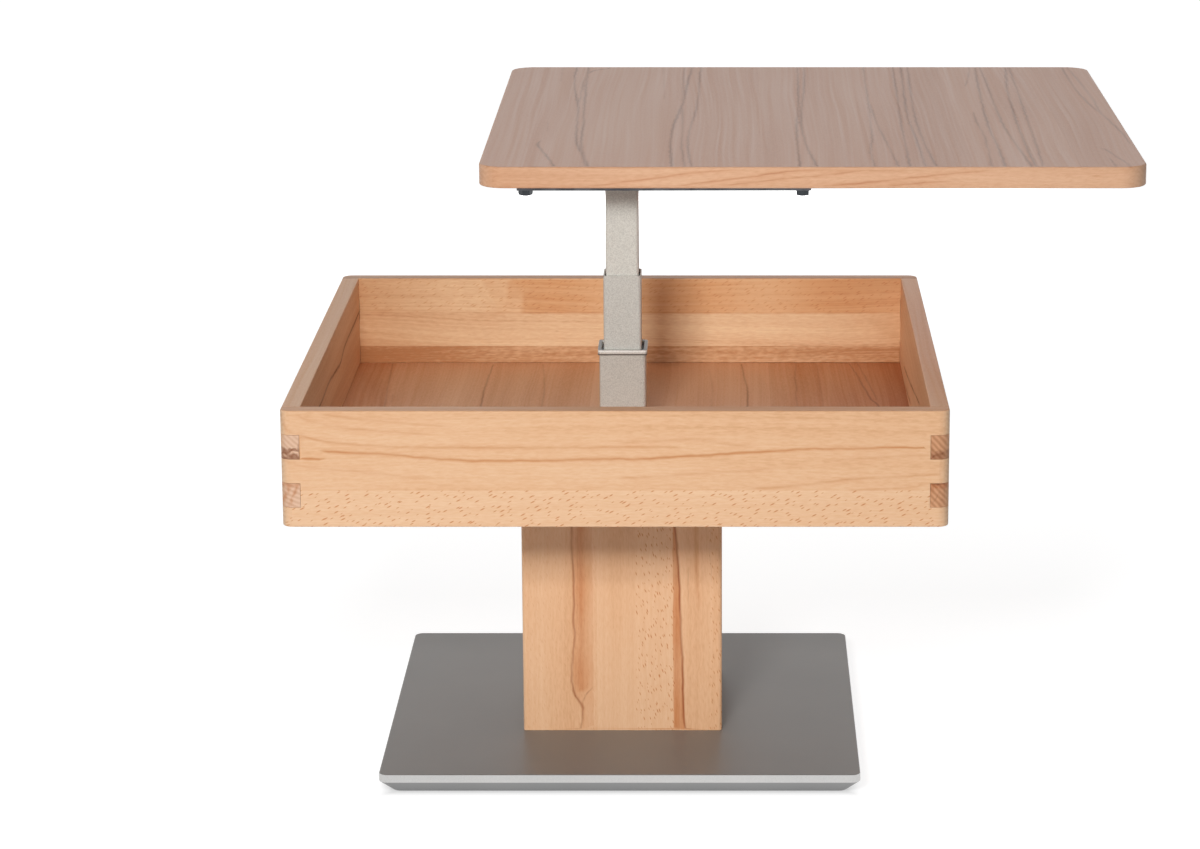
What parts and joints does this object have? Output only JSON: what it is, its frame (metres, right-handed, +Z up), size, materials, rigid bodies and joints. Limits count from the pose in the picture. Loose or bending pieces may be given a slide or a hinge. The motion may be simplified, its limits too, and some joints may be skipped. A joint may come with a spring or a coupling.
{
  "type": "lift-top coffee table",
  "caption": "Square wooden coffee table: a storage box on a pedestal and weighted base, with a top that rises on a telescopic tube and slides sideways to open the box.",
  "frame": {"origin": "on the floor, under the axis of the lifting tube, at the centre of the base", "axes": "+Z up, +X to the right, the way the top runs out, -Y the front"},
  "size_m": [0.9005, 0.7, 0.7113],
  "materials": {
    "core_beech": "oiled core beech",
    "inner_board": "raw board",
    "base_steel": "satin grey",
    "raw_steel": "mill finish",
    "coated_steel": "silver-grey metallic powder coat",
    "zinc_steel": "zinc plated",
    "black_nylon": "matt black",
    "spring_black": "black enamel",
    "rod_chrome": "hard chrome",
    "plain_aluminium": "mill finish",
    "grey_felt": "felt"
  },
  "bodies": {
    "stand": {"column_front": "core_beech", "column_back": "core_beech", "column_left": "core_beech", "column_right": "core_beech", "box_front": "core_beech", "box_back": "core_beech", "box_left": "core_beech", "box_right": "core_beech", "box_floor": "core_beech", "base_core_board": "inner_board", "column_foot_frame": "inner_board", "column_head_board": "inner_board", "base_cover": "base_steel", "base_ballast": "raw_steel", "lift_foot_plate": "raw_steel", "lift_outer_tube": "coated_steel", "lift_collar": "coated_steel", "box_screw_1": "zinc_steel", "box_screw_2": "zinc_steel", "box_screw_3": "zinc_steel", "box_screw_4": "zinc_steel", "lift_foot_bolt_1": "zinc_steel", "lift_foot_bolt_2": "zinc_steel", "lift_foot_bolt_3": "zinc_steel", "lift_foot_bolt_4": "zinc_steel", "base_glide_front_left": "black_nylon", "base_glide_front_right": "black_nylon", "base_glide_back_left": "black_nylon", "base_glide_back_right": "black_nylon", "base_glide_centre": "black_nylon", "lift_outer_bush": "black_nylon", "gas_spring_cylinder": "spring_black"},
    "lift_middle": {"lift_middle_tube": "coated_steel", "lift_middle_bush": "black_nylon"},
    "lift_inner": {"lift_inner_tube": "coated_steel", "gas_spring_rod": "rod_chrome", "carrier_spine": "raw_steel", "carrier_front_bar": "raw_steel", "carrier_back_bar": "raw_steel", "carrier_bolt_front_left": "zinc_steel", "carrier_bolt_front_right": "zinc_steel", "carrier_bolt_back_left": "zinc_steel", "carrier_bolt_back_right": "zinc_steel", "slide_nut_front_left": "zinc_steel", "slide_nut_front_right": "zinc_steel", "slide_nut_back_left": "zinc_steel", "slide_nut_back_right": "zinc_steel"},
    "table_top": {"top_board": "core_beech", "top_edge_band": "core_beech", "top_rail_front": "plain_aluminium", "top_rail_back": "plain_aluminium", "top_pad_front_left": "grey_felt", "top_pad_front_right": "grey_felt", "top_pad_back_left": "grey_felt", "top_pad_back_right": "grey_felt"}
  },
  "joints": [
    {"name": "middle_lift", "type": "slide", "parent": "stand", "child": "lift_middle", "axis": [0, 0, 1], "range_m": [-0.084, 0]},
    {"name": "inner_lift", "type": "slide", "parent": "lift_middle", "child": "lift_inner", "axis": [0, 0, 1], "range_m": [-0.1477, 0]},
    {"name": "top_slide", "type": "slide", "parent": "lift_inner", "child": "table_top", "axis": [1, 0, 0], "range_m": [-0.2055, 0]}
  ],
  "couplings": [
    {"joint": "middle_lift", "follows": "inner_lift", "ratio": 0.5687}
  ]
}
